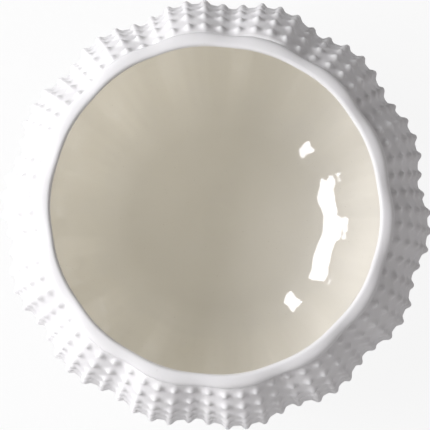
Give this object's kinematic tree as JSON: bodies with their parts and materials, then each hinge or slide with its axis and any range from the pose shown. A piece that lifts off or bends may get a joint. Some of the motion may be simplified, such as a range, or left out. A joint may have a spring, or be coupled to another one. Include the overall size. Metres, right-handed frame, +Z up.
{
  "type": "ribbed studded ceramic flower bowl",
  "caption": "Round squat ceramic bowl for cut flowers, ribbed and studded outside like a sea urchin, with a wide open mouth, a gloss-glazed inside and felt pads under its foot.",
  "frame": {"origin": "on the table under the centre of the foot ring: the bottom centre of the bounding box", "axes": "+Z up along the bowl's axis; +X and +Y lie in the table plane, and one lobe's crest stands at 21 degrees from +X towards +Y"},
  "size_m": [0.2484, 0.2472, 0.12],
  "materials": {
    "matte_clay": "matte white slip-cast stoneware, unglazed and smooth outside",
    "gloss_glaze": "high-gloss warm greige glaze, thick and smooth",
    "felt": "pressed wool felt, pale grey"
  },
  "bodies": {
    "root": {"ceramic_shell": "matte_clay", "interior_glaze": "gloss_glaze", "felt_pad_1": "felt", "felt_pad_2": "felt", "felt_pad_3": "felt", "felt_pad_4": "felt"}
  },
  "joints": []
}
